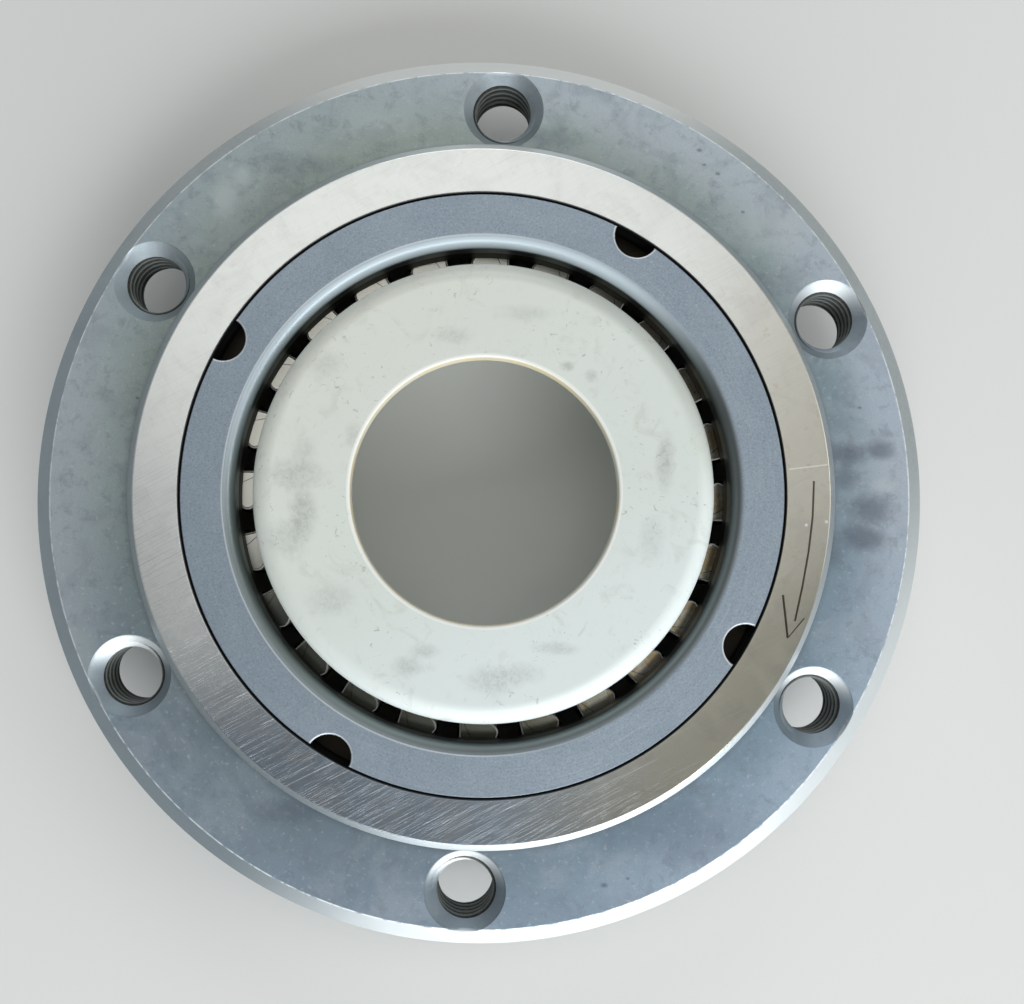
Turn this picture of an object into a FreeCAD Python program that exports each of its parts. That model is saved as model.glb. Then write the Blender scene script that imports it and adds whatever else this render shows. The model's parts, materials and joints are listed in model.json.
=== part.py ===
import FreeCAD, Part
import math
import os

# One-way clutch bearing: flanged outer race, sprag set, end ring and transport plug.
# Lengths in millimetres, +Z out of the front face, z = 0 on the rear face.

# Outer race along the axis
total_width = 18.0
boss_height = 3.7
flange_thickness = 8.0
shoulder_thickness = 1.4

# Across the axis: the hub that the clutch runs on, then each step outward
hub_diameter = 54.765
sprag_gap = 8.33
boss_wall = 6.1875
boss_to_hole = 5.5
hole_to_rim = 6.85
rear_hub_step = 1.4

# Edge breaks of the outer race
flange_front_chamfer = 2.3
flange_back_chamfer = 1.0
boss_chamfer = 0.9
rear_hub_chamfer = 0.8
race_mouth_chamfer = 0.35

# Threaded holes, cut at the minor diameter
hole_count = 6
hole_first_angle = 30.0
hole_radius = 3.4
hole_front_sink = 1.5
hole_back_sink = 0.9

# Clearances
press_clearance = 0.0125
running_clearance = 0.08
cage_clearance = 0.06
axial_clearance = 0.1
race_tip_clearance = 0.04
plug_tip_clearance = 0.06
window_side_clearance = 0.35
window_end_clearance = 0.15

# End ring
ring_sink = 0.15
ring_thickness = 3.3
ring_over_hub = 2.0175
ring_bore_rounding = 1.35
ring_edge_chamfer = 0.35
notch_count = 4
notch_first_angle = -27.7
notch_radius = 2.6

# Sprags
sprag_count = 24
sprag_first_angle = 1.3
sprag_half_width = 2.3
sprag_waist = 1.6
sprag_waist_half_length = 1.05
sprag_side_start = 1.7
sprag_cam_side = 0.9
sprag_cam_spare = 0.4
sprag_corner_flat = 0.35

# Cages
cage_sheet = 0.75
cage_rim_sheet = 0.8
cage_front_border = 2.7
cage_rear_border = 2.2
inner_cage_inset = 0.22
outer_cage_inset = 2.11

# Ribbon spring
spring_sheet = 0.3
spring_end_gap = 0.3
spring_lead_gap = 0.35
spring_trail_gap = 0.9
spring_window_end = 0.3

# Transport plug
plug_under_hub = 0.4625
plug_stand = 3.0
plug_rounding = 2.5
plug_plate = 2.0
plug_wall = 2.0
plug_back_gap = 1.0
plug_lead_in = 1.2
plug_lead_step = 0.8
plug_face_width = 11.47
plug_rim_chamfer = 0.5
rib_count = 6
rib_thickness = 1.6
rib_setback = 4.0
rib_nose = 1.2
rib_drop = 5.0
rib_root = 0.5

# Flats that make up a turned rounding
rounding_steps = 4

# How far a cutting tool runs past what it cuts, and how close edges count as equal
overrun = 1.0
edge_tolerance = 0.001

# Places that follow from the sizes above
hub_radius = hub_diameter / 2
race_radius = hub_radius + sprag_gap
boss_radius = race_radius + boss_wall
hole_circle_radius = boss_radius + boss_to_hole
flange_radius = hole_circle_radius + hole_to_rim
rear_hub_radius = boss_radius - rear_hub_step
flange_front = total_width - boss_height
flange_back = flange_front - flange_thickness
ring_bore_radius = hub_radius + ring_over_hub
shoulder_radius = ring_bore_radius
ring_radius = race_radius - press_clearance
ring_front = total_width - ring_sink
ring_back = ring_front - ring_thickness
cage_front = ring_back - axial_clearance
cage_back = shoulder_thickness + axial_clearance
window_front = cage_front - cage_front_border
window_back = cage_back + cage_rear_border
sprag_front = window_front - window_end_clearance
sprag_back = window_back + window_end_clearance
inner_cage_radius = ring_bore_radius + inner_cage_inset
outer_cage_radius = race_radius - outer_cage_inset
spring_radius = (inner_cage_radius + cage_sheet + outer_cage_radius - spring_sheet) / 2
plug_radius = hub_radius - plug_under_hub
plug_bore_radius = plug_radius - plug_face_width
plug_top = total_width + plug_stand
sprag_outer_reach = race_radius - race_tip_clearance
sprag_inner_reach = plug_radius + plug_tip_clearance
sprag_half_height = (sprag_outer_reach - sprag_inner_reach) / 2
sprag_centre_radius = (sprag_outer_reach + sprag_inner_reach) / 2
sprag_cam_radius = sprag_half_width + sprag_cam_side + sprag_cam_spare
sprag_cam_rise = sprag_half_height - sprag_cam_radius

origin = FreeCAD.Vector(0, 0, 0)
axis_z = FreeCAD.Vector(0, 0, 1)


def point(x, y, z=0.0):
    return FreeCAD.Vector(x, y, z)


def rounding(corner_r, corner_z, radius, start):
    # Stations along a quarter circle inside a corner, counter-clockwise from the start angle
    stations = []
    toward = math.radians(start + 45)
    centre_r = corner_r - math.copysign(radius, math.cos(toward))
    centre_z = corner_z - math.copysign(radius, math.sin(toward))
    for step in range(rounding_steps + 1):
        a = math.radians(start + step * 90 / rounding_steps)
        stations.append((centre_r + radius * math.cos(a), centre_z + radius * math.sin(a)))
    return stations


def revolve(stations):
    # Closed (radius, height) outline in the XZ plane, turned once round the axis
    wire = Part.makePolygon([point(r, 0, z) for r, z in stations + stations[:1]])
    return Part.Face(wire).revolve(origin, axis_z, 360)


def tube(inner, outer, low, high):
    wall = Part.makeCylinder(outer, high - low, point(0, 0, low))
    return wall.cut(Part.makeCylinder(inner, high - low, point(0, 0, low)))


def turned(shape, angle):
    copy = shape.copy()
    copy.rotate(origin, axis_z, angle)
    return copy


def around(shape, count, first_angle):
    return [turned(shape, first_angle + i * 360.0 / count) for i in range(count)]


def cut_around(shape, tool, count, first_angle):
    for copy in around(tool, count, first_angle):
        shape = shape.cut(copy)
    return shape


# Flanged outer race: rear hub, flange, front boss and ground race with a rear shoulder
def clutch_outer():
    body = revolve([
        (shoulder_radius, 0),
        (rear_hub_radius - rear_hub_chamfer, 0),
        (rear_hub_radius, rear_hub_chamfer),
        (rear_hub_radius, flange_back),
        (flange_radius - flange_back_chamfer, flange_back),
        (flange_radius, flange_back + flange_back_chamfer),
        (flange_radius, flange_front - flange_front_chamfer),
        (flange_radius - flange_front_chamfer, flange_front),
        (boss_radius, flange_front),
        (boss_radius, total_width - boss_chamfer),
        (boss_radius - boss_chamfer, total_width),
        (race_radius + race_mouth_chamfer, total_width),
        (race_radius, total_width - race_mouth_chamfer),
        (race_radius, shoulder_thickness),
        (shoulder_radius, shoulder_thickness),
    ])
    drill = revolve([
        (0, flange_back - overrun),
        (hole_radius + hole_back_sink + overrun, flange_back - overrun),
        (hole_radius, flange_back + hole_back_sink),
        (hole_radius, flange_front - hole_front_sink),
        (hole_radius + hole_front_sink + overrun, flange_front + overrun),
        (0, flange_front + overrun),
    ])
    drill.translate(point(hole_circle_radius, 0))
    return cut_around(body, drill, hole_count, hole_first_angle)


# End ring: flush in the race mouth, half-round notches through its outer edge
def end_ring():
    ring = revolve([
        (ring_bore_radius, ring_back),
        (ring_radius - ring_edge_chamfer, ring_back),
        (ring_radius, ring_back + ring_edge_chamfer),
        (ring_radius, ring_front - ring_edge_chamfer),
        (ring_radius - ring_edge_chamfer, ring_front),
    ] + rounding(ring_bore_radius, ring_front, ring_bore_rounding, 90))
    height = ring_thickness + 2 * overrun
    notch = Part.makeCylinder(notch_radius, height, point(ring_radius, 0, ring_back - overrun))
    return cut_around(ring, notch, notch_count, notch_first_angle)


# Sprag at angle zero: Y runs counter-clockwise across it and X runs outward.
# Each end is one cam arc, set off to one side, that meets a straight flank in a tight
# corner and falls away to the waist on the other side. The outline has two-fold symmetry.
def sprag():
    length = sprag_front - sprag_back

    def cam_at(across):
        reach = math.sqrt(sprag_cam_radius ** 2 - (across + sprag_cam_side) ** 2)
        return point(-sprag_cam_rise - reach, across)

    tight = cam_at(-sprag_half_width)
    wide = cam_at(sprag_half_width)
    flank = point(-sprag_side_start, -sprag_half_width)
    waist_in = point(-sprag_waist_half_length, sprag_waist)
    waist_out = point(sprag_waist_half_length, sprag_waist)
    half = [
        Part.makeLine(flank, tight),
        Part.Arc(tight, cam_at(0), wide).toShape(),
        Part.makeLine(wide, waist_in),
        Part.makeLine(waist_in, waist_out),
        Part.makeLine(waist_out, flank * -1),
    ]
    wire = Part.Wire(half + [turned(edge, 180) for edge in half])
    body = Part.Face(wire).extrude(point(0, 0, length))

    def at_corner(edge):
        box = edge.BoundBox
        near = [math.hypot(box.XMin - s * tight.x, box.YMin - s * tight.y) for s in (1, -1)]
        return box.ZLength > length / 2 and min(near) < edge_tolerance

    corners = [edge for edge in body.Edges if at_corner(edge)]
    body = body.makeChamfer(sprag_corner_flat, corners)
    body.translate(point(sprag_centre_radius, 0, sprag_back))
    return body


# Sheet cage: a windowed band with an outward rim at the front, and at the back if asked
def cage(inner_radius, rim_radius, rim_floors):
    band = tube(inner_radius, inner_radius + cage_sheet, cage_back, cage_front)
    for floor in rim_floors:
        band = band.fuse(tube(inner_radius, rim_radius, floor, floor + cage_rim_sheet))
    half = sprag_half_width + window_side_clearance
    corner = point(inner_radius - overrun, -half, window_back)
    depth = cage_sheet + 2 * overrun
    window = Part.makeBox(depth, 2 * half, window_front - window_back, corner)
    return cut_around(band.removeSplitter(), window, sprag_count, sprag_first_angle)


def outer_cage():
    floors = [cage_back, cage_front - cage_rim_sheet]
    return cage(outer_cage_radius, race_radius - running_clearance, floors)


def inner_cage():
    floors = [cage_front - cage_rim_sheet]
    return cage(inner_cage_radius, outer_cage_radius - cage_clearance, floors)


# Ribbon spring: a thin band between the cages, with a window round each sprag's waist
def ribbon_spring():
    low = cage_back + cage_rim_sheet + spring_end_gap
    high = cage_front - cage_rim_sheet - spring_end_gap
    band = tube(spring_radius, spring_radius + spring_sheet, low, high)
    floor = sprag_back - spring_window_end
    height = sprag_front + spring_window_end - floor
    lead = sprag_waist + spring_lead_gap
    trail = sprag_waist + spring_trail_gap
    depth = spring_sheet + 2 * overrun
    corner = point(spring_radius - overrun, -trail, floor)
    window = Part.makeBox(depth, lead + trail, height, corner)
    return cut_around(band, window, sprag_count, sprag_first_angle)


# Transport plug: moulded cap with a bored top plate, a skirt and stiffening ribs
def transport_plug():
    inside = plug_radius - plug_wall
    under = plug_top - plug_plate
    cap = revolve(rounding(plug_radius, plug_top, plug_rounding, 0) + [
        (plug_bore_radius + plug_rim_chamfer, plug_top),
        (plug_bore_radius, plug_top - plug_rim_chamfer),
        (plug_bore_radius, under),
        (inside, under),
        (inside, plug_back_gap),
        (plug_radius - plug_lead_step, plug_back_gap),
        (plug_radius, plug_back_gap + plug_lead_in),
    ])
    nose = plug_bore_radius + rib_setback
    outline = Part.makePolygon([
        point(nose, 0, under + rib_root),
        point(nose, 0, under - rib_nose),
        point(inside + rib_root, 0, under - rib_drop),
        point(inside + rib_root, 0, under + rib_root),
        point(nose, 0, under + rib_root),
    ])
    rib = Part.Face(outline).extrude(point(0, rib_thickness))
    rib.translate(point(0, -rib_thickness / 2))
    for copy in around(rib, rib_count, hole_first_angle):
        cap = cap.fuse(copy)
    return cap.removeSplitter()


pieces = {
    "clutch_outer": clutch_outer(),
    "end_ring": end_ring(),
    "outer_cage": outer_cage(),
    "inner_cage": inner_cage(),
    "ribbon_spring": ribbon_spring(),
    "transport_plug": transport_plug(),
}
for number, shape in enumerate(around(sprag(), sprag_count, sprag_first_angle), 1):
    pieces["sprag_%02d" % number] = shape

os.makedirs("parts", exist_ok=True)
for name, shape in pieces.items():
    if not shape.isValid() or len(shape.Solids) != 1:
        raise ValueError("%s is not one sound solid" % name)
    shape.Solids[0].exportStep("parts/%s.step" % name)
    print("%s: %.1f mm3" % (name, shape.Volume))
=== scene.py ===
import json
from math import atan2, cos, degrees, pi, radians, sin, sqrt

import bpy
from mathutils import Matrix, Vector


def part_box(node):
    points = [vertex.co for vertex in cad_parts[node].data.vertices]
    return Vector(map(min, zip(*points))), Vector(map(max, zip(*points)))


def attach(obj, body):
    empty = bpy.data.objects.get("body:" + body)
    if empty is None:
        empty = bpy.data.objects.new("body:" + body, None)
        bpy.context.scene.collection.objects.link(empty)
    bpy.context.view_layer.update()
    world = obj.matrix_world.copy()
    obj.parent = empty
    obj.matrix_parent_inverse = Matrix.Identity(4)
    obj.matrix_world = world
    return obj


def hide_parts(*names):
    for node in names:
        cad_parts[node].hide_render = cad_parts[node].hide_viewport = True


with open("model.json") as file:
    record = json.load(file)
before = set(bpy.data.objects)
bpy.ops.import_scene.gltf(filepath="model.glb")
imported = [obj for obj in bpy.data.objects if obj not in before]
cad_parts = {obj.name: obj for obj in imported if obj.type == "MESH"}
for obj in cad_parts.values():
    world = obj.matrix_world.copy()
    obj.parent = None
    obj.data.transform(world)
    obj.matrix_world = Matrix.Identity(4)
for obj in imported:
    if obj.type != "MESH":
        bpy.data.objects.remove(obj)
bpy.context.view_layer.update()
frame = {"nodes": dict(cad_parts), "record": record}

# One-way clutch bearing seen from above: turned pieces are spun profiles, in millimetres
# where a dictionary gives them, and in metres once they are in the scene.

mm = 0.001
weldGap = 0.002  # mm between points that become one
sameGap = 0.01  # mm between places that count as the same
mounts = {mount["name"]: mount for mount in frame["record"]["mounts"]}


def nodeSizes(node):  # reach from the axis, bottom and top of a turned node, in mm
    low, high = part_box(node)
    return max(high.x, high.y) / mm, low.z / mm, high.z / mm


rimRadius, raceBack, raceFront = nodeSizes("clutch_outer")
ringRadius, ringBack, ringFront = nodeSizes("end_ring")
plugRadius, plugBack, plugTop = nodeSizes("transport_plug")
bossRadius = mounts["boss_register"]["dims"]["r_mm"]
flangeFront = mounts["front_flange_face"]["pos_m"][2] / mm
boltCircle = mounts["flange_holes"]["dims"]["pcd_mm"] / 2
boltCount = mounts["flange_holes"]["dims"]["count"]
tapRadius = mounts["flange_holes"]["dims"]["hole_r_mm"]
boltAngle = 30  # the first flange hole, in degrees from +X


# Modelling steps that several pieces share

def point(radius, angle, height):  # degrees round the axis
    return (radius * cos(radians(angle)), radius * sin(radians(angle)), height)


def arc(centreR, centreZ, radius, start, end, steps):
    angles = [radians(start + (end - start) * i / steps) for i in range(steps + 1)]
    return [(centreR + radius * cos(a), centreZ + radius * sin(a)) for a in angles]


def selectOnly(piece):
    bpy.ops.object.select_all(action="DESELECT")
    bpy.context.view_layer.objects.active = piece
    piece.select_set(True)


def clearPicks(piece):  # no point, edge or face of the mesh stays selected
    for part in (piece.data.vertices, piece.data.edges, piece.data.polygons):
        for item in part:
            item.select = False


def weldAll():  # in edit mode: merge points that touch, and leave everything selected
    bpy.ops.mesh.select_all(action="SELECT")
    bpy.ops.mesh.remove_doubles(threshold=weldGap * mm)
    bpy.ops.mesh.select_all(action="SELECT")


def drawChain(name, places):  # one point, extruded from place to place
    bpy.ops.object.select_all(action="DESELECT")
    bpy.ops.mesh.primitive_plane_add(size=mm)
    piece = bpy.context.object
    piece.name = piece.data.name = name
    bpy.ops.object.mode_set(mode="EDIT")
    bpy.ops.mesh.select_mode(type="VERT")
    bpy.ops.mesh.select_all(action="SELECT")
    bpy.ops.mesh.merge(type="CENTER")
    places = [Vector(place) * mm for place in places]
    bpy.ops.transform.translate(value=places[0])
    for here, there in zip(places, places[1:]):
        bpy.ops.mesh.extrude_region_move(TRANSFORM_OT_translate={"value": there - here})
    return piece


def drawOutline(name, places):  # a closed chain
    piece = drawChain(name, places + places[:1])
    weldAll()
    return piece


def fillOutline(name, places):
    piece = drawOutline(name, places)
    bpy.ops.mesh.edge_face_add()
    return piece


def tidyMesh():  # in edit mode: weld, turn faces outwards, back to object mode
    weldAll()
    bpy.ops.mesh.normals_make_consistent(inside=False)
    bpy.ops.object.mode_set(mode="OBJECT")


def spinProfile(name, stations, steps):  # closed (radius, height) outline, turned once round
    piece = drawOutline(name, [(r, 0, z) for r, z in stations])
    bpy.ops.mesh.spin(steps=steps, angle=2 * pi, center=(0, 0, 0), axis=(0, 0, 1))
    tidyMesh()
    return piece


def applyModifier(piece, kind, **settings):
    selectOnly(piece)
    modifier = piece.modifiers.new(kind, kind)
    for setting, value in settings.items():
        setattr(modifier, setting, value)
    bpy.ops.object.modifier_apply(modifier=modifier.name)


def roundEdges(piece, width, limit=20):
    applyModifier(piece, "BEVEL", width=width * mm, segments=2, limit_method="ANGLE",
                  angle_limit=radians(limit), use_clamp_overlap=True)


def cutWith(piece, tool, operation="DIFFERENCE"):
    applyModifier(piece, "BOOLEAN", object=tool, operation=operation, solver="EXACT")
    bpy.data.objects.remove(tool)


def turnedCopies(piece, count, firstAngle, centreRadius=0):
    copies = []
    for i in range(count):
        copy = piece.copy()
        copy.data = piece.data.copy()
        bpy.context.collection.objects.link(copy)
        turn = Matrix.Rotation(radians(firstAngle + i * 360 / count), 4, "Z")
        copy.data.transform(turn @ Matrix.Translation((centreRadius * mm, 0, 0)))
        copies.append(copy)
    bpy.data.objects.remove(piece)
    return copies


def joined(pieces):
    bpy.ops.object.select_all(action="DESELECT")
    for piece in pieces:
        piece.select_set(True)
    bpy.context.view_layer.objects.active = pieces[0]
    bpy.ops.object.join()
    return bpy.context.object


def smoothShade(piece, angle=30):  # flats keep their own normal up to a rounded edge
    selectOnly(piece)
    bpy.ops.object.shade_smooth_by_angle(angle=radians(angle))
    applyModifier(piece, "WEIGHTED_NORMAL", mode="FACE_AREA", keep_sharp=True)


def finishPiece(piece, material, body, slot, *nodes):
    piece.data.materials.clear()
    piece.data.materials.append(material)
    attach(piece, body)
    if nodes:
        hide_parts(*nodes)


# Materials: arithmetic on a Signal adds Math nodes, and any other node comes from Finish.node

class Signal:
    def __init__(self, finish, socket):
        self.finish = finish
        self.socket = socket

    def __add__(self, other):
        return self.finish.sum("ADD", self, other)

    def __sub__(self, other):
        return self.finish.sum("SUBTRACT", self, other)

    def __rsub__(self, other):
        return self.finish.sum("SUBTRACT", other, self)

    def __mul__(self, other):
        return self.finish.sum("MULTIPLY", self, other)

    def __truediv__(self, other):
        return self.finish.sum("DIVIDE", self, other)

    __radd__ = __add__


class Finish:
    def __init__(self, name, **fixed):
        self.material = bpy.data.materials.new(name)
        self.material.use_nodes = True
        self.nodes = self.material.node_tree.nodes
        self.nodes.clear()
        output = self.nodes.new("ShaderNodeOutputMaterial")
        self.shader = self.nodes.new("ShaderNodeBsdfPrincipled")
        self.link(Signal(self, self.shader.outputs[0]), output.inputs[0])
        for socket, value in fixed.items():
            self.shader.inputs[socket.replace("_", " ")].default_value = value
        coordinates = self.node("ShaderNodeTexCoord", {}, {}, "Object")
        self.place = self.node("ShaderNodeVectorMath", {"operation": "SCALE"},
                               {"Vector": coordinates, "Scale": 1 / mm})
        self.x = self.axis("X")
        self.y = self.axis("Y")
        self.z = self.axis("Z")
        self.r = self.length(self.x, self.y)

    def link(self, signal, socket):
        self.material.node_tree.links.new(signal.socket, socket)

    def node(self, kind, settings, values, output=0):
        made = self.nodes.new(kind)
        for setting, value in settings.items():
            setattr(made, setting, value)
        for name, value in values.items():
            if isinstance(value, Signal):
                self.link(value, made.inputs[name])
            else:
                made.inputs[name].default_value = value
        return Signal(self, made.outputs[output])

    def sum(self, operation, first, second):
        return self.node("ShaderNodeMath", {"operation": operation}, {0: first, 1: second})

    def axis(self, name):
        return self.node("ShaderNodeSeparateXYZ", {}, {"Vector": self.place}, name)

    def length(self, a, b):
        return self.sum("SQRT", a * a + b * b, 0)

    def most(self, a, b):
        return self.sum("MAXIMUM", a, b)

    def away(self, a):
        return self.sum("ABSOLUTE", a, 0)

    def vector(self, x, y, z):
        return self.node("ShaderNodeCombineXYZ", {}, {"X": x, "Y": y, "Z": z})

    def step(self, value, start, end):  # 0 before start, 1 past end, smooth between
        return self.node("ShaderNodeMapRange", {"interpolation_type": "SMOOTHSTEP"},
                         {"Value": value, "From Min": start, "From Max": end})

    def band(self, value, centre, width, soft):  # 1 within width of centre
        return 1 - self.step(self.away(value - centre), width, width + soft)

    def noise(self, scale, detail=3, roughness=0.5, vector=None, distortion=0):
        return self.node("ShaderNodeTexNoise", {"noise_dimensions": "3D"},
                         {"Vector": vector or self.place, "Scale": scale, "Detail": detail,
                          "Roughness": roughness, "Distortion": distortion}, "Fac")

    def streaks(self, angle, along, across):  # straight scratches at one angle
        c, s = cos(radians(angle)), sin(radians(angle))
        lengthwise = (self.x * c + self.y * s) * along
        sideways = (self.y * c - self.x * s) * across
        return self.noise(1, 3, 0.6, self.vector(lengthwise, sideways, self.z * along))

    def turning(self, across, along=4):  # fine lines round the axis
        return self.noise(1, 3, 0.6, self.vector(
            self.x / self.r * along, self.y / self.r * along, (self.r + self.z) * across))

    def mix(self, factor, first, second):
        return self.node("ShaderNodeMix", {"data_type": "RGBA", "clamp_factor": True},
                         {0: factor, 6: first, 7: second}, 2)

    def spot(self, place, reach, soft):  # a soft, ragged oval mark, 1 in its middle
        ragged = self.noise(0.9, 4, 0.6) * 0.9 - 0.45
        across = (self.x - place[0]) / reach[0]
        along = (self.y - place[1]) / reach[1]
        return 1 - self.step(self.length(across, along) + ragged, 1 - soft, 1 + soft)

    def bump(self, height, distance, strength=1):  # the distance is in mm
        return self.node("ShaderNodeBump", {}, {"Height": height, "Distance": distance * mm,
                                                "Strength": strength})

    def surface(self, **varying):
        for socket, signal in varying.items():
            self.link(signal, self.shader.inputs[socket.replace("_", " ")])
        return self.material


def colour(red, green, blue):
    return (red, green, blue, 1)


def nearestHole(finish, count, firstAngle, circle):  # mm from its axis, and mm beyond it in Y
    sector = 2 * pi / count
    angle = finish.sum("ARCTAN2", finish.y, finish.x)
    folded = finish.node("ShaderNodeMath", {"operation": "WRAP"},
                         {0: angle - radians(firstAngle), 1: sector / 2, 2: -sector / 2})
    outward = finish.r * finish.sum("COSINE", folded, 0) - circle
    sideways = finish.r * finish.sum("SINE", folded, 0)
    beyond = finish.y - finish.sum("SINE", angle - folded, 0) * circle
    return finish.length(outward, sideways), beyond


# Camera, floor and lights

cameraSet = {
    "place": (-0.53, -8.365, 145.5),
    "aim": (3.263, -3.04, 18.0),
    "roll": -2.794,
    "lens": 38.224,
    "shift": (0.0007, 0.0174),
    "sensor": 36,
    "clip": (0.005, 20),
}


def makeCamera():
    data = bpy.data.cameras.new("overhead")
    camera = bpy.data.objects.new("overhead", data)
    bpy.context.collection.objects.link(camera)
    place, aim = Vector(cameraSet["place"]) * mm, Vector(cameraSet["aim"]) * mm
    back = (place - aim).normalized()
    right = Vector((0, 1, 0)).cross(back).normalized()
    up = back.cross(right)
    turn = Matrix((right, up, back)).transposed().to_4x4()
    roll = Matrix.Rotation(radians(-cameraSet["roll"]), 4, "Z")
    camera.matrix_world = Matrix.Translation(place) @ turn @ roll
    data.sensor_width = cameraSet["sensor"]
    data.lens = cameraSet["lens"]
    data.shift_x, data.shift_y = cameraSet["shift"]
    data.clip_start, data.clip_end = cameraSet["clip"]
    bpy.context.scene.camera = camera


lampSet = {  # area lights that face the part, in metres
    "windowLow": {"place": (0.24, -0.72, 0.16), "size": (0.9, 0.25), "watts": 4.4,
                  "tint": (0.96, 0.99, 1.0)},
    "windowHigh": {"place": (0.18, -0.56, 0.5), "size": (0.7, 0.25), "watts": 2.6,
                   "tint": (0.95, 0.98, 1.0)},
    "overhead": {"place": (-0.1, 0.27, 0.72), "size": (0.5, 0.4), "watts": 0.42,
                 "tint": (1.0, 1.0, 0.96)},
    "overheadRight": {"place": (0.3, 0.2, 0.7), "size": (0.35, 0.35), "watts": 0.15,
                      "tint": (1.0, 0.98, 0.94)},
    "backFill": {"place": (0.0, 0.7, 0.4), "size": (0.6, 0.3), "watts": 1.2,
                 "tint": (0.95, 0.98, 1.0)},
    "intoSlot": {"place": (0.079, -0.052, 0.75), "size": (0.22, 0.09), "watts": 0.1,
                 "tint": (1.0, 0.99, 0.94)},
    "rightFill": {"place": (0.65, 0.1, 0.4), "size": (0.4, 0.4), "watts": 0.8,
                  "tint": (1.0, 0.99, 0.96)},
}
sky = {"tint": (0.95, 0.98, 1.0), "bright": 0.28}
floorWidth = 3  # metres


def makeLamp(name, place, size, watts, tint):
    data = bpy.data.lights.new(name, "AREA")
    data.shape = "RECTANGLE"
    data.size, data.size_y = size
    data.energy = watts
    data.color = tint
    lamp = bpy.data.objects.new(name, data)
    bpy.context.collection.objects.link(lamp)
    lamp.location = place
    lamp.rotation_euler = (-Vector(place)).to_track_quat("-Z", "Y").to_euler()


def makeStage():
    bpy.ops.object.select_all(action="DESELECT")
    bpy.ops.mesh.primitive_plane_add(size=floorWidth)
    floor = bpy.context.object
    floor.name = "paleFloor"
    pale = Finish("paleFloorPaint", Base_Color=colour(0.78, 0.78, 0.76), Roughness=0.85)
    floor.data.materials.append(pale.material)
    for name, settings in lampSet.items():
        makeLamp(name, **settings)
    world = bpy.data.worlds.new("studioWhite")
    world.use_nodes = True
    background = world.node_tree.nodes["Background"]
    background.inputs["Color"].default_value = colour(*sky["tint"])
    background.inputs["Strength"].default_value = sky["bright"]
    bpy.context.scene.world = world
    bpy.context.scene.view_settings.view_transform = "Standard"


makeCamera()
makeStage()
print("camera and lights set")


# Outer race: one forging, turned, drilled, tapped and part ground

race = {  # the arrow lies on the boss face within arrowReach of arrowRadius
    "hubStep": 1.4, "hubChamfer": 0.8, "flangeThickness": 8.0, "backChamfer": 1.0,
    "frontChamfer": 2.3, "bossChamfer": 0.9, "mouthChamfer": 0.15, "shoulder": 1.4,
    "shoulderBreak": 0.3, "pressGap": 0.0125, "edgeRound": 0.1, "steps": 288,
    "arrowRadius": 38.9, "arrowReach": 1.8,
}
mouthRadius = ringRadius + race["pressGap"]
holes = {
    "frontSink": 1.5, "backSink": 0.9, "overrun": 1.0, "pitch": 1.25, "majorRadius": 4.0,
    "crestFlat": 0.3125, "flankRise": 0.346, "steps": 36, "turns": 8,
}
arrow = {  # scribed on the boss face: width, depth, and (radius, degrees) along each stroke
    "shaft": (0.26, 0.17, [(39.07, 4.93), (38.95, -1.2), (38.93, -7.4), (39.12, -13.5),
                           (39.59, -19.63)]),
    "innerBarb": (0.28, 0.19, [(37.2, -16.08), (39.6, -22.8)]),
    "outerBarb": (0.18, 0.1, [(40.5, -18.6), (39.6, -22.8)]),
}


def raceBody():
    back = flangeFront - race["flangeThickness"]
    hub = bossRadius - race["hubStep"]
    bore = mouthRadius
    shoulder = ring["boreRadius"]
    return spinProfile("turnedRace", [
        (shoulder + race["shoulderBreak"], raceBack),
        (hub - race["hubChamfer"], raceBack),
        (hub, raceBack + race["hubChamfer"]),
        (hub, back),
        (rimRadius - race["backChamfer"], back),
        (rimRadius, back + race["backChamfer"]),
        (rimRadius, flangeFront - race["frontChamfer"]),
        (rimRadius - race["frontChamfer"], flangeFront),
        (bossRadius, flangeFront),
        (bossRadius, raceFront - race["bossChamfer"]),
        (bossRadius - race["bossChamfer"], raceFront),
        (bore + race["mouthChamfer"], raceFront),
        (bore, raceFront - race["mouthChamfer"]),
        (bore, race["shoulder"]),
        (shoulder, race["shoulder"]),
        (shoulder, raceBack + race["shoulderBreak"]),
    ], race["steps"])


def tapTool():  # one pitch of thread, screwed down the hole right-handed and capped
    flat, rise, pitch = holes["crestFlat"], holes["flankRise"], holes["pitch"]
    start = flangeFront
    tool = drawChain("tapTool", [
        (tapRadius, 0, start),
        (tapRadius, 0, start + flat),
        (holes["majorRadius"], 0, start + flat + rise),
        (holes["majorRadius"], 0, start + pitch - rise),
        (tapRadius, 0, start + pitch),
    ])
    bpy.ops.mesh.select_all(action="SELECT")
    bpy.ops.mesh.screw(steps=holes["steps"], turns=holes["turns"], center=(0, 0, 0), axis=(0, 0, -1))
    weldAll()
    bpy.ops.mesh.fill_holes(sides=0)
    tidyMesh()
    return tool


def sinkTool():  # both countersinks of one hole
    back = flangeFront - race["flangeThickness"]
    over = holes["overrun"]
    tip = tapRadius / 2
    return spinProfile("sinkTool", [
        (0, back - over),
        (tapRadius + holes["backSink"] + over, back - over),
        (tip, back + holes["backSink"] + tapRadius - tip),
        (tip, flangeFront - holes["frontSink"] - tapRadius + tip),
        (tapRadius + holes["frontSink"] + over, flangeFront + over),
        (0, flangeFront + over),
    ], holes["steps"] * 2)


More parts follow.
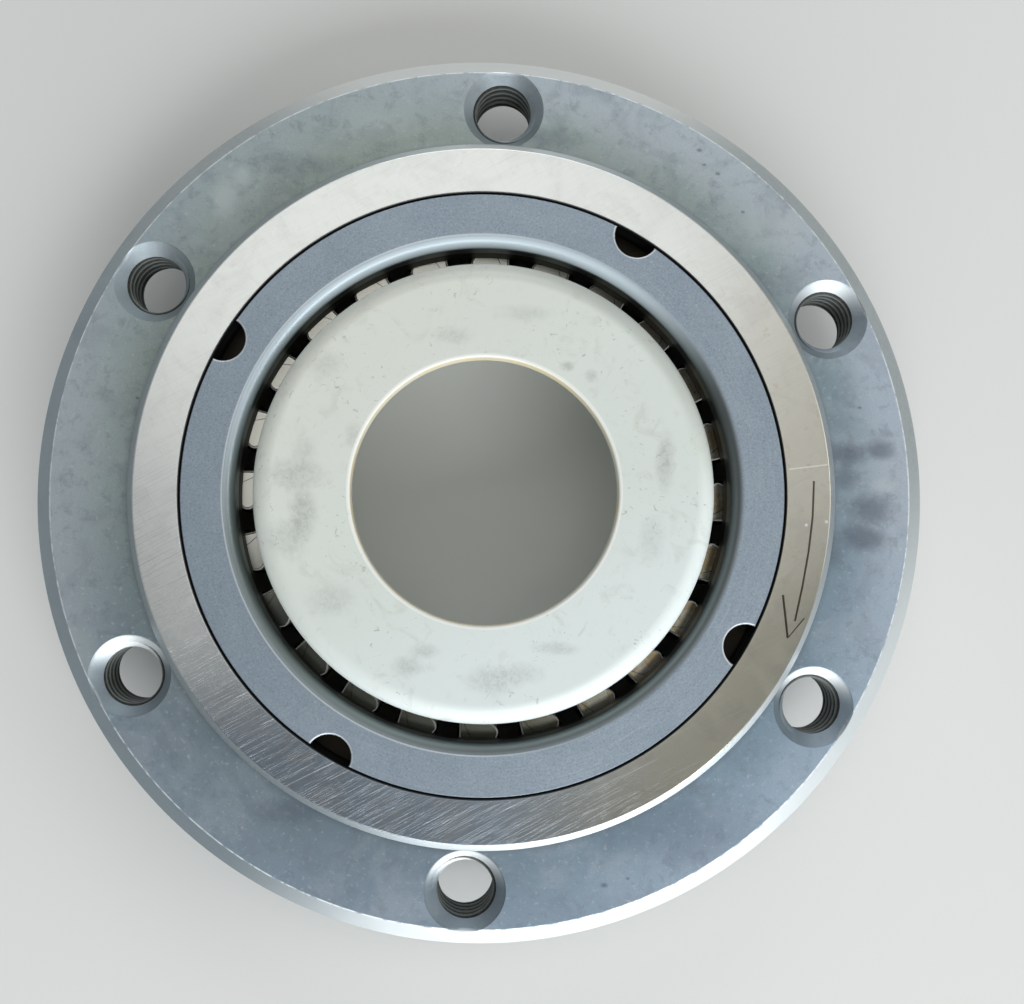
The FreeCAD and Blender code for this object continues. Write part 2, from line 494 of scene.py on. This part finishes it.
def scribeTool(name, width, depth, stroke):  # a small section, on edge, dragged along it
    width = width / 2
    places = [Vector(point(r, a, raceFront)) for r, a in stroke]
    side = (places[1] - places[0]).cross(Vector((0, 0, 1))).normalized()
    corners = [places[0] + side * width, places[0] - Vector((0, 0, depth)),
               places[0] - side * width, places[0] + Vector((0, 0, depth))]
    tool = fillOutline(name, corners)
    bpy.ops.mesh.select_mode(type="FACE")
    for here, there in zip(places, places[1:]):
        bpy.ops.mesh.extrude_region_move(TRANSFORM_OT_translate={"value": (there - here) * mm})
    tidyMesh()
    return tool


stains = {  # on the flange face, in mm: place, reach and strength, and for specks no strength
    "pale": [((-33.4, 34.6), (1.4, 2.0), 0.5), ((-31.4, 37.2), (1.0, 1.1), 0.4),
             ((-14.5, 44.5), (4.5, 1.6), 0.22), ((34.0, 34.5), (4.0, 2.6), 0.3),
             ((48.6, 3.6), (1.6, 0.8), 0.3), ((-47.5, -24.0), (2.4, 6.0), 0.25)],
    "dark": [((43.9, 7.2), (2.3, 1.2), 0.6), ((48.0, 7.9), (1.7, 1.0), 0.6),
             ((43.8, 4.3), (1.5, 1.3), 0.4), ((47.3, 0.6), (2.3, 1.5), 0.6),
             ((46.4, -3.0), (2.6, 1.5), 0.6), ((42.9, -5.0), (1.1, 1.8), 0.35),
             ((-21.5, -38.9), (3.6, 1.3), 0.45), ((27.0, -39.5), (10.0, 4.0), 0.3),
             ((-24.5, 39.0), (5.0, 1.4), 0.25), ((5.0, 44.3), (4.6, 1.1), 0.3)],
    "specks": [((24.3, 43.8), 0.3), ((25.0, 42.0), 0.2), ((26.7, 41.0), 0.26), ((30.0, 36.4), 0.24),
               ((16.6, -46.0), 0.34), ((19.4, -45.1), 0.22), ((-42.2, 9.5), 0.2),
               ((45.4, 13.0), 0.22)],
}


def flangeColour(made, fine, grain, blotch):
    x, y, r = made.x, made.y, made.r
    cloud = made.noise(0.09, 5, 0.65, distortion=0.5)
    mottle = made.noise(0.55, 5, 0.7, distortion=0.4)
    # Painted light and shade: the flange grey shifts from side to side and grows paler towards the rim,
    # at the far left, at the top and at the upper right, and darker at the lower left, as light falls
    # on it.
    grey = made.mix(x * 0.008 - y * 0.008 + 0.45, colour(0.375, 0.44, 0.415),
                    colour(0.26, 0.345, 0.42))
    grey = made.mix(made.step(r, 43, 52) * 0.55, grey, colour(0.47, 0.555, 0.655))
    grey = made.mix(made.step(x * -0.5 - y * 0.87, 12, 46) * 0.5, grey, colour(0.15, 0.20, 0.25))
    grey = made.mix(made.step(x * -1, 40, 53) * 0.65, grey, colour(0.60, 0.66, 0.68))
    grey = made.mix(made.step(y - made.away(x) * 0.2, 12, 36) * 0.3, grey, colour(0.55, 0.62, 0.56))
    outerRightLight = made.step(x * 0.75 + y * 0.66, 10, 45) * made.step(r, 44, 50)
    grey = made.mix(outerRightLight * 0.45, grey, colour(0.66, 0.72, 0.80))
    grey = made.mix(made.step(cloud, 0.45, 0.65) * 0.28, grey, colour(0.52, 0.555, 0.60))
    grey = made.mix(made.step(mottle, 0.5, 0.68) * 0.3, grey, colour(0.19, 0.22, 0.25))
    grey = made.mix(blotch * 0.2, grey, colour(0.20, 0.215, 0.26))
    grey = made.mix(made.step(fine, 0.56, 0.72) * 0.3, grey, colour(0.70, 0.74, 0.77))
    grey = made.mix(made.step(grain, 0.56, 0.7) * 0.42, grey, colour(0.15, 0.17, 0.20))
    for key, tone in (("pale", colour(0.62, 0.68, 0.67)), ("dark", colour(0.13, 0.155, 0.20))):
        for place, reach, strength in stains[key]:
            grey = made.mix(made.spot(place, reach, 0.7) * strength, grey, tone)
    for place, reach in stains["specks"]:
        grey = made.mix(made.spot(place, (reach, reach * 0.7), 0.8) * 0.5, grey,
                        colour(0.06, 0.07, 0.09))
    # A bright line along the front chamfer's edge: partly edge wear, partly a painted highlight.
    line = made.step(made.noise(0.7, 3, 0.6), 0.36, 0.56) * 0.75
    edge = made.band(r, rimRadius - race["frontChamfer"], 0.07, 0.12)
    grey = made.mix(edge * (0.15 + line), grey, colour(0.86, 0.91, 0.94))
    # Painted shade: the flange darkens near the foot of the boss.
    corner = 1 - made.step(r, bossRadius - 0.1, bossRadius + 1.6)
    return made.mix(corner * 0.6, grey, colour(0.12, 0.14, 0.15))


def groundColour(made, lines, lit):
    x, y = made.x, made.y
    # Painted light and shade: the ground face is near white at the upper left, browner towards the
    # right, darker towards the bottom and bluer at the lower left.
    lower = made.step(x * 0.25 - y * 0.97, 5, 26)
    right = made.step(x * 0.9 - y * 0.4, 5, 34)
    patches = made.noise(0.22, 5, 0.65, distortion=0.8)
    bright = made.mix(right, colour(0.90, 0.92, 0.90), colour(0.69, 0.67, 0.59))
    low = made.mix(made.step(x, -2, 30), colour(0.30, 0.35, 0.405), colour(0.50, 0.48, 0.40))
    bright = made.mix(lower, bright, low)
    bright = made.mix(made.step(patches, 0.48, 0.66) * (0.1 + lower * 0.2), bright,
                      colour(0.36, 0.35, 0.33))
    bright = made.mix(made.step(made.noise(0.8, 4, 0.65), 0.58, 0.72) * (0.1 + right * 0.2), bright,
                      colour(0.45, 0.38, 0.26))
    bright = made.mix(lines * 0.6, bright, colour(0.28, 0.28, 0.28))
    bright = made.mix(lit, bright, colour(0.95, 0.97, 0.97))
    nick = made.band(y - x * 0.17, -1.5, 0.05, 0.08) * made.band(x, 38.2, 2.2, 0.2)
    bright = made.mix(nick * 0.8, bright, colour(0.97, 0.95, 0.88))
    for place in ((38.2, -1.9), (40.6, -1.4)):
        bright = made.mix(made.spot(place, (0.16, 0.16), 0.6), bright, colour(1.0, 1.0, 0.97))
    return bright


def machinedColour(made, fine):
    x, y = made.x, made.y
    # Painted light and shade on the chamfers: a painted highlight where they face the lower right,
    # lighter at the top, darker at the left.
    facingHighlight = made.step(x * 0.55 - y * 0.83, 20, 44)
    left = made.step(x * -0.93 - y * 0.37, 12, 46)
    wall = made.mix(fine, colour(0.36, 0.41, 0.43), colour(0.52, 0.56, 0.57))
    wall = made.mix(made.step(y - made.away(x) * 0.6, 22, 42) * 0.95, wall, colour(0.84, 0.86, 0.85))
    wall = made.mix(left * (0.3 + made.step(made.r, 44, 50) * 0.45), wall, colour(0.21, 0.27, 0.32))
    return made.mix(facingHighlight * 0.85, wall, colour(0.88, 0.93, 0.96))


def holeColour(made, base, fine, grain):  # bright countersinks with a painted highlight on the side towards the light, and threads painted dark as shade
    y, z = made.y, made.z
    hole, beyond = nearestHole(made, boltCount, boltAngle, boltCircle)
    mouth = tapRadius + holes["frontSink"]
    sunk = 1 - made.step(hole, mouth - 0.3, mouth + 0.1)
    sunk = sunk * (1 - made.step(z, flangeFront - 0.05, flangeFront))
    towardsLight = made.step(beyond, -0.5, 3.5) * (1 - made.step(y - made.x * 0.3, 0, 44) * 0.75)
    bright = made.mix(towardsLight - grain * 0.25, colour(0.42, 0.48, 0.52), colour(0.97, 1.0, 1.0))
    base = made.mix(sunk * (0.55 + towardsLight * 0.35), base, bright)
    inside = 1 - made.step(hole, holes["majorRadius"] + 0.02, holes["majorRadius"] + 0.12)
    belowSink = made.step(hole - z, mouth + 0.05 - flangeFront, mouth + 0.2 - flangeFront)
    drilled = inside * belowSink
    # Painted shade: the tapped walls below the countersink are painted near black.
    threadShade = made.mix(made.step(fine, 0.35, 0.65), colour(0.03, 0.033, 0.028), colour(0.07, 0.066, 0.055))
    base = made.mix(drilled * 0.95, base, threadShade)
    # A painted highlight on the thread crests, lighter than the painted shade between them.
    crest = 1 - made.step(hole, tapRadius + 0.04, tapRadius + 0.2)
    return made.mix(drilled * crest * 0.6, base, colour(0.30, 0.33, 0.32))


def raceFinish():
    made = Finish("heatTreatedSteel", Metallic=1.0)
    z, r = made.z, made.r
    face = made.step(z, raceFront - 0.09, raceFront - 0.04)
    scribed = made.band(r, race["arrowRadius"], race["arrowReach"], 0.1)
    groove = scribed * made.band(z, raceFront - 0.2, 0.17, 0.02)
    ground = made.most(face, scribed * made.step(z, raceFront - 0.6, raceFront - 0.5))
    chamfer = rimRadius - race["frontChamfer"]
    rim = made.step(r, chamfer + 0.02, chamfer + 0.06)
    cornice = made.band(r, bossRadius - race["bossChamfer"] / 2, 0.4, 0.05) * (1 - face)
    machined = made.most(rim, cornice)

    blotch = made.step(made.noise(0.2, 4, 0.55, distortion=0.6), 0.48, 0.7)
    fine = made.noise(1.6, 4, 0.7)
    grain = made.noise(6.5, 3, 0.7)
    lowerLeft = made.step(made.x * -0.45 - made.y * 0.9, 10, 36)
    hatch = made.streaks(31, 0.12, 8.5)
    crossed = made.streaks(-58, 0.14, 9.5)
    lines = made.step(hatch, 0.52, 0.66) * (0.12 + lowerLeft * 0.75)
    lines = made.most(lines, made.step(crossed, 0.56, 0.7) * (0.12 + lowerLeft * 0.3))
    lit = made.step(made.streaks(29, 0.08, 4.6), 0.63, 0.7) * (0.08 + lowerLeft * 0.6)

    base = made.mix(machined, flangeColour(made, fine, grain, blotch),
                    machinedColour(made, fine))
    base = made.mix(ground, base, groundColour(made, lines, lit))
    base = made.mix(groove * 0.6, base, colour(0.16, 0.14, 0.11))
    base = holeColour(made, base, fine, grain)
    # Painted shade: the race bore inside the ring is painted near black.
    bore = 1 - made.step(r, mouthRadius + 0.02, mouthRadius + 0.07)
    base = made.mix(bore * 0.92, base, colour(0.04, 0.04, 0.036))
    gap = made.band(r, mouthRadius + 0.02, 0.1, 0.08) * made.step(z, raceFront - 2, raceFront - 1)
    base = made.mix(gap * (0.8 + fine * 0.2), base, colour(0.02, 0.02, 0.02))

    rough = 0.55 + grain * 0.07 + blotch * 0.05 - machined * 0.2 - ground * (0.3 - lines * 0.14)
    relief = (grain + fine * 0.8) * (1 - ground) * (1 - machined * 0.6) - lines * ground * 0.8
    return made.surface(Base_Color=base, Roughness=rough,
                        Normal=made.bump(relief + lit * ground * 0.4, 0.028, 0.4))


def makeRace():
    body = raceBody()
    roundEdges(body, race["edgeRound"])
    cutWith(body, joined(turnedCopies(tapTool(), boltCount, boltAngle, boltCircle)))
    cutWith(body, joined(turnedCopies(sinkTool(), boltCount, boltAngle, boltCircle)))
    for name, stroke in arrow.items():
        cutWith(body, scribeTool(name, *stroke))
    smoothShade(body)
    finishPiece(body, raceFinish(), "outer_race", "race_steel", "clutch_outer")


# End ring: turned, with a rounded bore and four half-round notches

ring = {
    "boreRadius": 29.4, "boreRounding": 1.35, "roundingSteps": 12, "edgeChamfer": 0.2,
    "edgeRound": 0.05, "steps": 240,
    "notchCount": 4, "notchAngle": -27.7, "notchRadius": 2.6, "notchSteps": 48,
    "notchEdge": 0.26, "notchEdgeSteps": 2,
}


def notchTool():
    reach = ring["notchRadius"]
    return spinProfile("notchTool", [
        (0, ringBack - 1), (reach, ringBack - 1), (reach, ringFront + 1), (0, ringFront + 1),
    ], ring["notchSteps"])


def softenNotches(body):  # a small edge break where each notch meets the front face
    selectOnly(body)
    clearPicks(body)
    count = ring["notchCount"]
    centres = [Vector(point(ringRadius, ring["notchAngle"] + i * 360 / count, ringFront)) * mm
               for i in range(count)]
    for edge in body.data.edges:
        ends = [body.data.vertices[i].co for i in edge.vertices]
        for centre in centres:
            reaches = [(end - centre).length / mm - ring["notchRadius"] for end in ends]
            atFront = max(abs(end.z - centre.z) for end in ends) < sameGap * mm
            if max(abs(reach) for reach in reaches) < sameGap and atFront:
                edge.select = True
    bpy.ops.object.mode_set(mode="EDIT")
    bpy.ops.mesh.select_mode(type="EDGE")
    bpy.ops.mesh.bevel(offset=ring["notchEdge"] * mm, segments=ring["notchEdgeSteps"],
                       affect="EDGES")
    bpy.ops.object.mode_set(mode="OBJECT")


def ringFinish():
    made = Finish("turnedRingSteel")
    x, y, z, r = made.x, made.y, made.z, made.r
    lines = made.turning(9)
    broad = made.turning(1.6, 2)
    cloud = made.noise(0.12, 4, 0.55, distortion=0.8)
    fine = made.noise(4.5, 3, 0.7)
    throat = 1 - made.step(r, ring["boreRadius"] + 0.8, ring["boreRadius"] + 1.6)
    turned = (1 - throat) * (0.4 + made.step(x * 0.7 - y * 0.7, -20, 30) * 0.6)
    base = made.mix(cloud, colour(0.325, 0.395, 0.47), colour(0.42, 0.495, 0.565))
    base = made.mix(made.step(lines, 0.52, 0.7) * turned * 0.3, base, colour(0.62, 0.70, 0.77))
    base = made.mix(made.step(broad, 0.55, 0.75) * turned * 0.25, base, colour(0.27, 0.325, 0.38))
    base = made.mix(made.step(fine, 0.54, 0.68) * 0.5, base, colour(0.22, 0.25, 0.30))
    base = made.mix(made.step(fine, 0.46, 0.34) * 0.3, base, colour(0.66, 0.72, 0.78))
    # Painted light and shade in the rounded throat: a pale blue painted highlight on the upper side, a
    # painted shadow low in the bore there, and painted shade, darker towards the right, elsewhere.
    upper = made.step(y * 0.95 - x * 0.35, 0, 25)
    lowerThroatShade = made.mix(made.step(x, -20, 5), colour(0.27, 0.31, 0.31), colour(0.165, 0.185, 0.19))
    deepShadow = 1 - made.step(z, ringFront - 1.5, ringFront - 0.85)
    throatHighlightAndShadow = made.mix(deepShadow * 0.85, colour(0.80, 0.92, 1.0), colour(0.05, 0.055, 0.05))
    base = made.mix(throat, base, made.mix(upper, lowerThroatShade, throatHighlightAndShadow))
    # Painted highlight: a thin bright line where the throat's rounding meets the face, towards the
    # left.
    lip = made.band(r, ring["boreRadius"] + ring["boreRounding"], 0.04, 0.1)
    base = made.mix(lip * made.step(x, 22, -6) * 0.6, base, colour(0.88, 0.94, 0.97))
    notch = nearestHole(made, ring["notchCount"], ring["notchAngle"], ringRadius)[0]
    # Painted highlight along the notch edges at the front face.
    brink = made.band(notch, ring["notchRadius"] + 0.1, 0.12, 0.05)
    base = made.mix(brink * made.step(z, ringFront - 0.4, ringFront - 0.3) * 0.6, base,
                    colour(0.93, 0.96, 0.97))
    gap = made.step(r, ringRadius - 0.2, ringRadius - 0.1)
    base = made.mix(gap * 0.9, base, colour(0.02, 0.02, 0.02))
    # Painted shade: below the front face, outside the throat, the notch walls and outer wall are
    # painted near black.
    under = 1 - made.step(z, ringFront - 1.4, ringFront - 0.5)
    outside = made.step(r, ring["boreRadius"] + 1, ring["boreRadius"] + 1.4)
    base = made.mix(under * outside * 0.92, base, colour(0.03, 0.035, 0.03))
    rough = 0.42 + broad * 0.06 + lines * 0.05 + fine * 0.04 - throat * 0.12
    # The upper throat above the painted shadow is made less metallic, so its painted highlight reads as
    # a broad bright band.
    diffuseHighlight = throat * made.step(y, 14, 28) * (1 - deepShadow) * 0.8
    return made.surface(Base_Color=base, Roughness=rough, Metallic=1 - diffuseHighlight,
                        Normal=made.bump((lines + broad * 0.4 + fine * 0.5) * (1 - throat), 0.012, 0.4))


def makeRing():
    bore, rounding = ring["boreRadius"], ring["boreRounding"]
    edge = ring["edgeChamfer"]
    body = spinProfile("turnedEndRing", [
        (bore + edge, ringBack),
        (ringRadius - edge, ringBack),
        (ringRadius, ringBack + edge),
        (ringRadius, ringFront - edge),
        (ringRadius - edge, ringFront),
        *arc(bore + rounding, ringFront - rounding, rounding, 90, 180, ring["roundingSteps"]),
        (bore, ringBack + edge),
    ], ring["steps"])
    roundEdges(body, ring["edgeRound"], limit=25)
    cutWith(body, joined(turnedCopies(notchTool(), ring["notchCount"], ring["notchAngle"], ringRadius)))
    softenNotches(body)
    smoothShade(body, 25)
    finishPiece(body, ringFinish(), "outer_race", "ring_steel", "end_ring")


# Sprags: two-cam bodies, modelled once at angle zero and copied round

sprags = {
    "count": 24, "firstAngle": 1.3, "halfWidth": 2.3, "waist": 1.6, "waistHalf": 1.05,
    "sideStart": 1.7, "camSide": 0.9, "camSpare": 0.4, "tipGap": 0.06, "raceGap": 0.04,
    "camSteps": 7, "camEnd": 20, "noseReach": 3.6, "noseBack": 1.25, "noseRise": 0.25,
    "noseSteps": 10, "edgeRound": 0.28, "edgeSteps": 4, "cornerRound": 0.5, "cornerSteps": 5,
    "cornerTurn": 30, "cornerReach": 1.8, "shearStart": 6.0, "endSlope": 0.12,
}


def spragOutline(halfHeight):  # half of the outline: Y runs counter-clockwise, X outward
    half, side, steps = sprags["halfWidth"], sprags["camSide"], sprags["camSteps"]
    radius = half + side + sprags["camSpare"]
    rise = halfHeight - radius
    start = atan2(-half + side, sqrt(radius ** 2 - (half - side) ** 2))
    turns = [start + (radians(sprags["camEnd"]) - start) * i / steps for i in range(steps + 1)]
    cam = [(-rise - radius * cos(a), radius * sin(a) - side) for a in turns]
    nose, lean = sprags["noseReach"], radians(sprags["camEnd"])
    corner = (cam[-1][0] + (nose - cam[-1][1]) * sin(lean) / cos(lean), nose)
    back = (-sprags["noseBack"], sprags["waist"] + sprags["noseRise"])
    return [(-sprags["sideStart"], -half), *cam, *roundNose(cam[-1], corner, back),
            (-sprags["waistHalf"], sprags["waist"]), (sprags["waistHalf"], sprags["waist"])]


def roundNose(start, corner, end):  # points of a smooth bend that leans towards the corner
    bends = [i / sprags["noseSteps"] for i in range(1, sprags["noseSteps"] + 1)]
    return [tuple((1 - t) ** 2 * a + 2 * t * (1 - t) * b + t ** 2 * c
                  for a, b, c in zip(start, corner, end)) for t in bends]


def spragFinish(top):  # the height of the end faces, in mm
    made = Finish("polishedSpragSteel")
    x, y, z = made.x, made.y, made.z
    cloud = made.noise(0.5, 3, 0.55)
    fine = made.noise(5, 3, 0.6)
    end = made.step(z, top - 0.035, top - 0.005)
    # Painted highlight: the rounding round each end is painted near white, rougher and less metallic.
    rim = made.band(z, top - 0.14, 0.1, 0.03)
    side = made.mix(cloud, colour(0.66, 0.64, 0.58), colour(0.82, 0.80, 0.74))
    # End faces: their own brownish grey with brown patches, then painted shade towards the lower left
    # and painted light, near white, towards the upper left.
    endFaceAndPaintedLight = made.mix(cloud, colour(0.37, 0.355, 0.30), colour(0.52, 0.50, 0.43))
    brown = made.step(made.noise(0.9, 3, 0.55), 0.46, 0.6) * made.step(x - y, -12, 14)
    endFaceAndPaintedLight = made.mix(brown * 0.65, endFaceAndPaintedLight, colour(0.34, 0.23, 0.10))
    endFaceAndPaintedLight = made.mix(made.step(y * -0.75 - x * 0.65, 2, 18) * 0.9, endFaceAndPaintedLight, colour(0.09, 0.10, 0.085))
    upperLeft = made.step(y - x, 8, 26)
    endFaceAndPaintedLight = made.mix(upperLeft, endFaceAndPaintedLight, colour(1.0, 0.985, 0.89))
    base = made.mix(end, side, endFaceAndPaintedLight)
    base = made.mix(rim, base, colour(1.0, 0.98, 0.93))
    base = made.mix(made.step(fine, 0.62, 0.72) * 0.07, base, colour(0.20, 0.18, 0.15))
    shear = made.most(y - x - sprags["shearStart"], 0) * end  # ends a little off square
    # The upper left end faces are also made less metallic, so their painted light reads as a pale
    # diffuse tone.
    return made.surface(Base_Color=base, Roughness=0.2 + fine * 0.06 + rim * 0.2,
                        Metallic=1 - rim * 0.85 - upperLeft * end * 0.55,
                        Normal=made.bump(fine * 0.0012 + shear * sprags["endSlope"], 1))


def roundUprights(body, height):  # the two sharp corners of the outline
    selectOnly(body)
    clearPicks(body)
    normals = {}
    for face in body.data.polygons:
        for key in face.edge_keys:
            normals.setdefault(key, []).append(face.normal)
    for edge in body.data.edges:
        a, b = [body.data.vertices[i].co for i in edge.vertices]
        first, second = normals[edge.key]
        upright = abs(a.z - b.z) > height / 2
        sharp = degrees(first.angle(second)) > sprags["cornerTurn"]
        outside = abs(a.x) > sprags["cornerReach"] * mm and a.x * a.y > 0
        edge.select = upright and sharp and outside
    bpy.ops.object.mode_set(mode="EDIT")
    bpy.ops.mesh.select_mode(type="EDGE")
    bpy.ops.mesh.bevel(offset=sprags["cornerRound"] * mm, segments=sprags["cornerSteps"],
                       affect="EDGES", clamp_overlap=True)
    bpy.ops.object.mode_set(mode="OBJECT")


def roundEnds(body):  # both ends inset and raised in steps round a quarter circle
    clearPicks(body)
    for face in body.data.polygons:
        face.select = abs(face.normal.z) > 0.99
    bpy.ops.object.mode_set(mode="EDIT")
    bpy.ops.mesh.select_mode(type="FACE")
    radius, steps = sprags["edgeRound"] * mm, sprags["edgeSteps"]
    turns = [pi / 2 * i / steps for i in range(steps + 1)]
    for here, there in zip(turns, turns[1:]):
        bpy.ops.mesh.inset(thickness=radius * (cos(here) - cos(there)),
                           depth=radius * (sin(there) - sin(here)))
    bpy.ops.object.mode_set(mode="OBJECT")


def makeSprags():
    low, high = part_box("sprag_01")
    inner, outer = plugRadius + sprags["tipGap"], mouthRadius - sprags["raceGap"]
    half = spragOutline((outer - inner) / 2)
    outline = half + [(-x, -y) for x, y in half]
    body = fillOutline("polishedSprag", [(x, y, 0) for x, y in outline])
    straight = high.z - low.z - 2 * sprags["edgeRound"] * mm
    bpy.ops.mesh.extrude_region_move(TRANSFORM_OT_translate={"value": (0, 0, straight)})
    bpy.ops.mesh.select_all(action="SELECT")
    bpy.ops.transform.translate(value=(0, 0, low.z + sprags["edgeRound"] * mm))
    tidyMesh()
    roundUprights(body, straight)
    roundEnds(body)
    smoothShade(body, 35)
    finish = spragFinish(high.z / mm)
    copies = turnedCopies(body, sprags["count"], sprags["firstAngle"], (inner + outer) / 2)
    for number, copy in enumerate(copies, 1):
        copy.name = copy.data.name = "polishedSprag%02d" % number
        node = "sprag_%02d" % number
        finishPiece(copy, finish, node, "sprag_steel", node)


# Transport plug: moulded cap with a rounded rim, a bored top plate, a skirt and ribs

plug = {
    "rounding": 2.5, "roundingSteps": 12, "plate": 2.0, "wall": 2.0, "boreRadius": 15.45,
    "rimRounding": 0.3, "rimSteps": 5, "leadIn": 1.2, "leadStep": 0.8, "steps": 240,
    "ribCount": 6, "ribAngle": 30, "ribThickness": 1.6, "ribSetback": 4.0, "ribNose": 1.2,
    "ribDrop": 5.0, "ribRoot": 0.5,
    "smudges": [  # on the top, in mm: place, reach and strength of each
        ((-21.6, 0.8), (2.6, 1.4), 0.45), ((-20.6, -3.6), (1.3, 2.4), 0.55),
        ((-22.2, -6.6), (2.0, 1.8), 0.35), ((-20.9, 3.4), (1.2, 1.5), 0.3),
        ((-19.0, 13.6), (1.6, 1.4), 0.3), ((-15.4, 5.6), (0.8, 1.2), 0.3),
        ((-17.0, -13.2), (2.2, 1.6), 0.3), ((-7.8, -20.4), (1.4, 1.0), 0.4),
        ((-6.0, -18.6), (1.3, 0.7), 0.35), ((1.8, -21.6), (2.4, 1.3), 0.4),
        ((5.2, -20.6), (2.0, 1.0), 0.3), ((9.0, -17.6), (2.0, 0.6), 0.4),
        ((20.6, 4.4), (0.9, 2.6), 0.5), ((19.4, -4.6), (1.2, 2.2), 0.25),
        ((8.8, 14.9), (0.7, 0.5), 0.5), ((11.6, 13.9), (0.6, 0.6), 0.45),
        ((-4.6, 17.8), (1.8, 0.8), 0.3), ((3.8, 20.8), (2.4, 0.8), 0.25),
    ],
}


def plugRib():
    inside = plugRadius - plug["wall"]
    under = plugTop - plug["plate"]
    nose = plug["boreRadius"] + plug["ribSetback"]
    outline = [(nose, under + plug["ribRoot"]), (nose, under - plug["ribNose"]),
               (inside + plug["ribRoot"], under - plug["ribDrop"]),
               (inside + plug["ribRoot"], under + plug["ribRoot"])]
    half = plug["ribThickness"] / 2
    rib = fillOutline("plugRib", [(x, -half, z) for x, z in outline])
    bpy.ops.mesh.extrude_region_move(TRANSFORM_OT_translate={"value": (0, 2 * half * mm, 0)})
    tidyMesh()
    return rib


def plugFinish():
    made = Finish("creamPlugPlastic", Roughness=0.34, Subsurface_Weight=0.06,
                  Subsurface_Scale=0.002, IOR=1.49)
    made.shader.inputs["Subsurface Radius"].default_value = (1.0, 0.9, 0.7)
    cloud = made.noise(0.08, 4, 0.55, distortion=0.5)
    smudge = made.step(made.noise(0.24, 5, 0.62, distortion=1.6), 0.53, 0.72)
    speck = made.step(made.noise(1.5, 4, 0.62, distortion=1.0), 0.62, 0.7)
    patchy = made.step(made.noise(0.13, 2, 0.5), 0.42, 0.6)
    top = made.step(made.z, plugTop - 3, plugTop - 1)
    base = made.mix(cloud, colour(0.72, 0.765, 0.71), colour(0.775, 0.825, 0.785))
    # Painted light: the plug turns creamier towards the upper left and paler and cooler towards the
    # lower right.
    cream = made.step(made.y * 0.75 - made.x * 0.65, -6, 34)
    base = made.mix(cream * 0.55, base, colour(0.76, 0.755, 0.655))
    base = made.mix(made.step(made.x * 0.5 - made.y, 4, 24) * 0.75, base, colour(0.80, 0.875, 0.87))
    # Painted shade on the rim rounding towards the upper right.
    roundingShade = made.step(made.x * 0.7 + made.y * 0.72, 18, 25) * made.step(made.r, 24.2, 25.6)
    base = made.mix(roundingShade * 0.45, base, colour(0.45, 0.47, 0.42))
    base = made.mix(smudge * 0.3, base, colour(0.52, 0.53, 0.46))
    base = made.mix(speck * patchy * 0.6, base, colour(0.34, 0.33, 0.27))
    streaky = 0.55 + made.step(made.noise(1.3, 4, 0.7, distortion=1.2), 0.42, 0.6) * 0.45
    for place, reach, strength in plug["smudges"]:
        base = made.mix(made.spot(place, reach, 0.7) * streaky * top * strength, base,
                        colour(0.33, 0.345, 0.31))
    # Painted highlight: a pale band on the rounding of the bore's rim.
    lip = made.band(made.r, plug["boreRadius"] + 0.22, 0.16, 0.12)
    base = made.mix(lip * 0.8, base, colour(0.95, 0.95, 0.90))
    burr = made.band(made.r, plug["boreRadius"], 0.04, 0.05) * made.step(cloud, 0.3, 0.6)
    base = made.mix(burr * 0.7, base, colour(0.86, 0.70, 0.38))
    hair = made.step(made.streaks(60, 0.35, 2.2), 0.68, 0.74)
    base = made.mix(hair * 0.25, base, colour(0.44, 0.43, 0.36))
    fine = made.noise(1.8, 4, 0.6)
    return made.surface(Base_Color=base, Normal=made.bump(fine + smudge * 0.6, 0.035, 0.3))


def makePlug():
    inside = plugRadius - plug["wall"]
    under = plugTop - plug["plate"]
    bore, rim, big = plug["boreRadius"], plug["rimRounding"], plug["rounding"]
    body = spinProfile("mouldedPlug", [
        *arc(plugRadius - big, plugTop - big, big, 0, 90, plug["roundingSteps"]),
        *arc(bore + rim, plugTop - rim, rim, 90, 180, plug["rimSteps"]),
        (bore, under),
        (inside, under),
        (inside, plugBack),
        (plugRadius - plug["leadStep"], plugBack),
        (plugRadius, plugBack + plug["leadIn"]),
    ], plug["steps"])
    ribs = joined(turnedCopies(plugRib(), plug["ribCount"], plug["ribAngle"]))
    cutWith(body, ribs, "UNION")
    smoothShade(body)
    finishPiece(body, plugFinish(), "transport_plug", "plug_plastic", "transport_plug")


# Cages and ribbon spring: the frame's own pieces, in dark and satin sheet steel

def sheetFinish(name, dark, light, roughness):
    made = Finish(name, Metallic=1.0)
    lines = made.turning(5)
    cloud = made.noise(0.5, 3, 0.5)
    base = made.mix(cloud * 0.6 + lines * 0.4, colour(*dark), colour(*light))
    return made.surface(Base_Color=base, Roughness=roughness + lines * 0.12,
                        Normal=made.bump(lines, 0.01, 0.3))


def dressSheetParts():
    # The cages are dark sheet steel, painted near black, partly as painted shade inside the clutch.
    darkSheet = sheetFinish("oiledCageSheet", (0.016, 0.014, 0.011), (0.05, 0.044, 0.034), 0.42)
    satinStrip = sheetFinish("springStrip", (0.22, 0.22, 0.22), (0.34, 0.34, 0.35), 0.3)
    for node, material in (("outer_cage", darkSheet), ("inner_cage", darkSheet),
                           ("ribbon_spring", satinStrip)):
        part = frame["nodes"][node]
        part.data.materials.clear()
        part.data.materials.append(material)


makeRace()
print("outer race done")
makeRing()
print("end ring done")
makeSprags()
print("sprags done")
makePlug()
print("plug done")
dressSheetParts()
print("cages and spring dressed")
